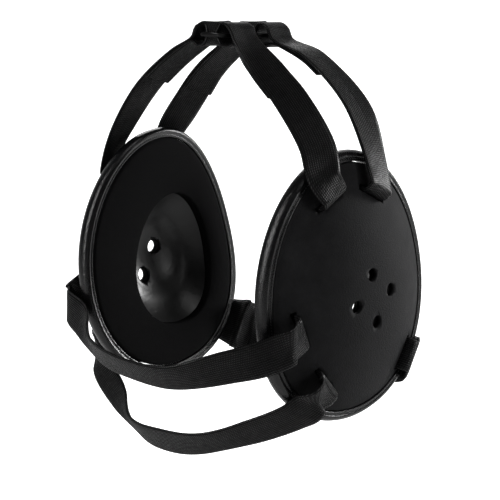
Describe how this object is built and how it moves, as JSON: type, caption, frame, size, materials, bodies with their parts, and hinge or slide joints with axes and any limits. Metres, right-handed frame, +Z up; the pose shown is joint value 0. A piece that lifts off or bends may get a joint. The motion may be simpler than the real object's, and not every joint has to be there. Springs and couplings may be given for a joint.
{
  "type": "wrestling ear guard",
  "caption": "Black padded ear cups joined by webbing straps over the crown, behind the head and round the chin, with vent holes, an ear-shaped opening in the foam and a rounded edge binding.",
  "frame": {"origin": "underside of the crown, where the guard sits on the head", "axes": "+X toward the wearer's left, -Y toward the wearer's front, +Z up"},
  "size_m": [0.2, 0.2019, 0.2494],
  "materials": {
    "cover": "matt neoprene",
    "liner": "gloss",
    "foam": "matt foam",
    "binding": "satin vinyl",
    "webbing": "woven",
    "wire": "satin black"
  },
  "bodies": {
    "root": {"right_outer_cover": "cover", "left_outer_cover": "cover", "right_ear_liner": "liner", "left_ear_liner": "liner", "right_foam_pad": "foam", "left_foam_pad": "foam", "right_edge_binding": "binding", "left_edge_binding": "binding", "right_back_leg": "webbing", "right_front_leg": "webbing", "left_back_leg": "webbing", "left_front_leg": "webbing", "back_crown_link": "wire", "front_crown_link": "wire", "upper_back_strap": "webbing", "lower_back_strap": "webbing", "chin_strap": "webbing"}
  },
  "joints": []
}
